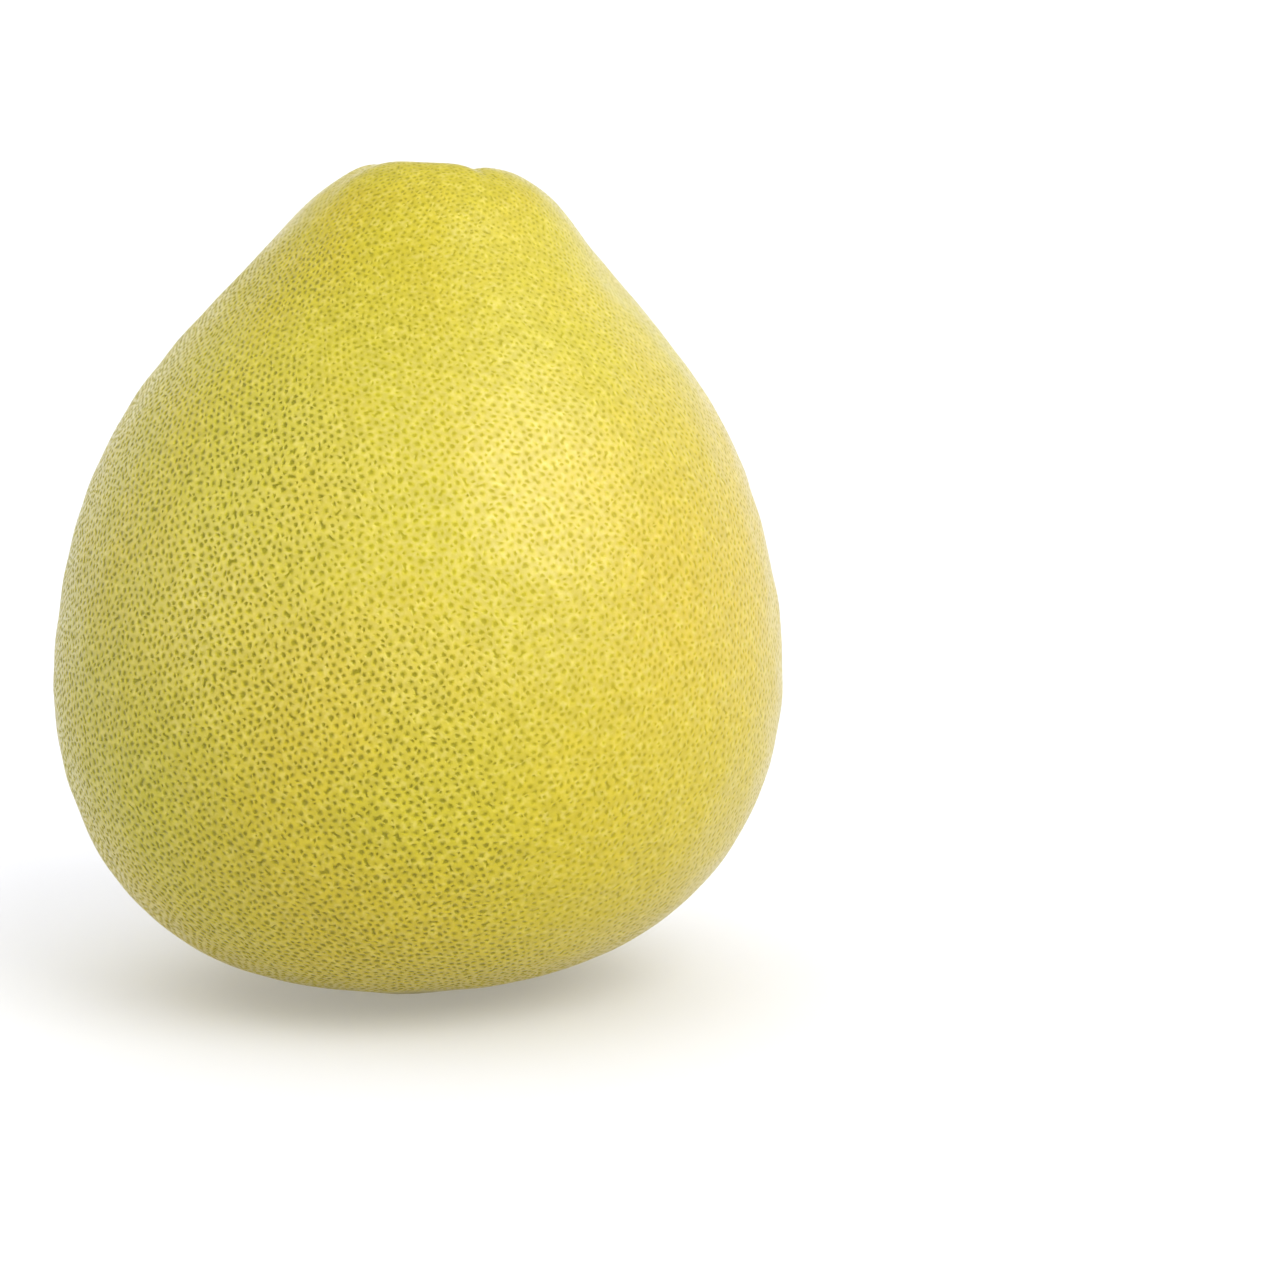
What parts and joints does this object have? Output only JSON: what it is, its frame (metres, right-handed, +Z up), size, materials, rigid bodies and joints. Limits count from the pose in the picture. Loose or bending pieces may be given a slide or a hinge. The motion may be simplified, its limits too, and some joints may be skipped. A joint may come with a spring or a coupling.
{
  "type": "pomelo",
  "caption": "Whole pear-shaped citrus fruit with a thick pitted peel, a furrowed neck and a dry stem button, resting on a flat spot of its base.",
  "frame": {"origin": "on the ground, under the middle of the fruit", "axes": "+Z up from the blossom end to the stem end, +X to the right and -Y to the front in the pictured view"},
  "size_m": [0.1577, 0.1577, 0.1802],
  "materials": {
    "peel": "waxy yellow-green citrus peel, pitted, softly glossy",
    "dry_stem": "dry brown calyx and cut stem, matt"
  },
  "bodies": {
    "root": {"fruit": "peel", "stem_button": "dry_stem"}
  },
  "joints": []
}
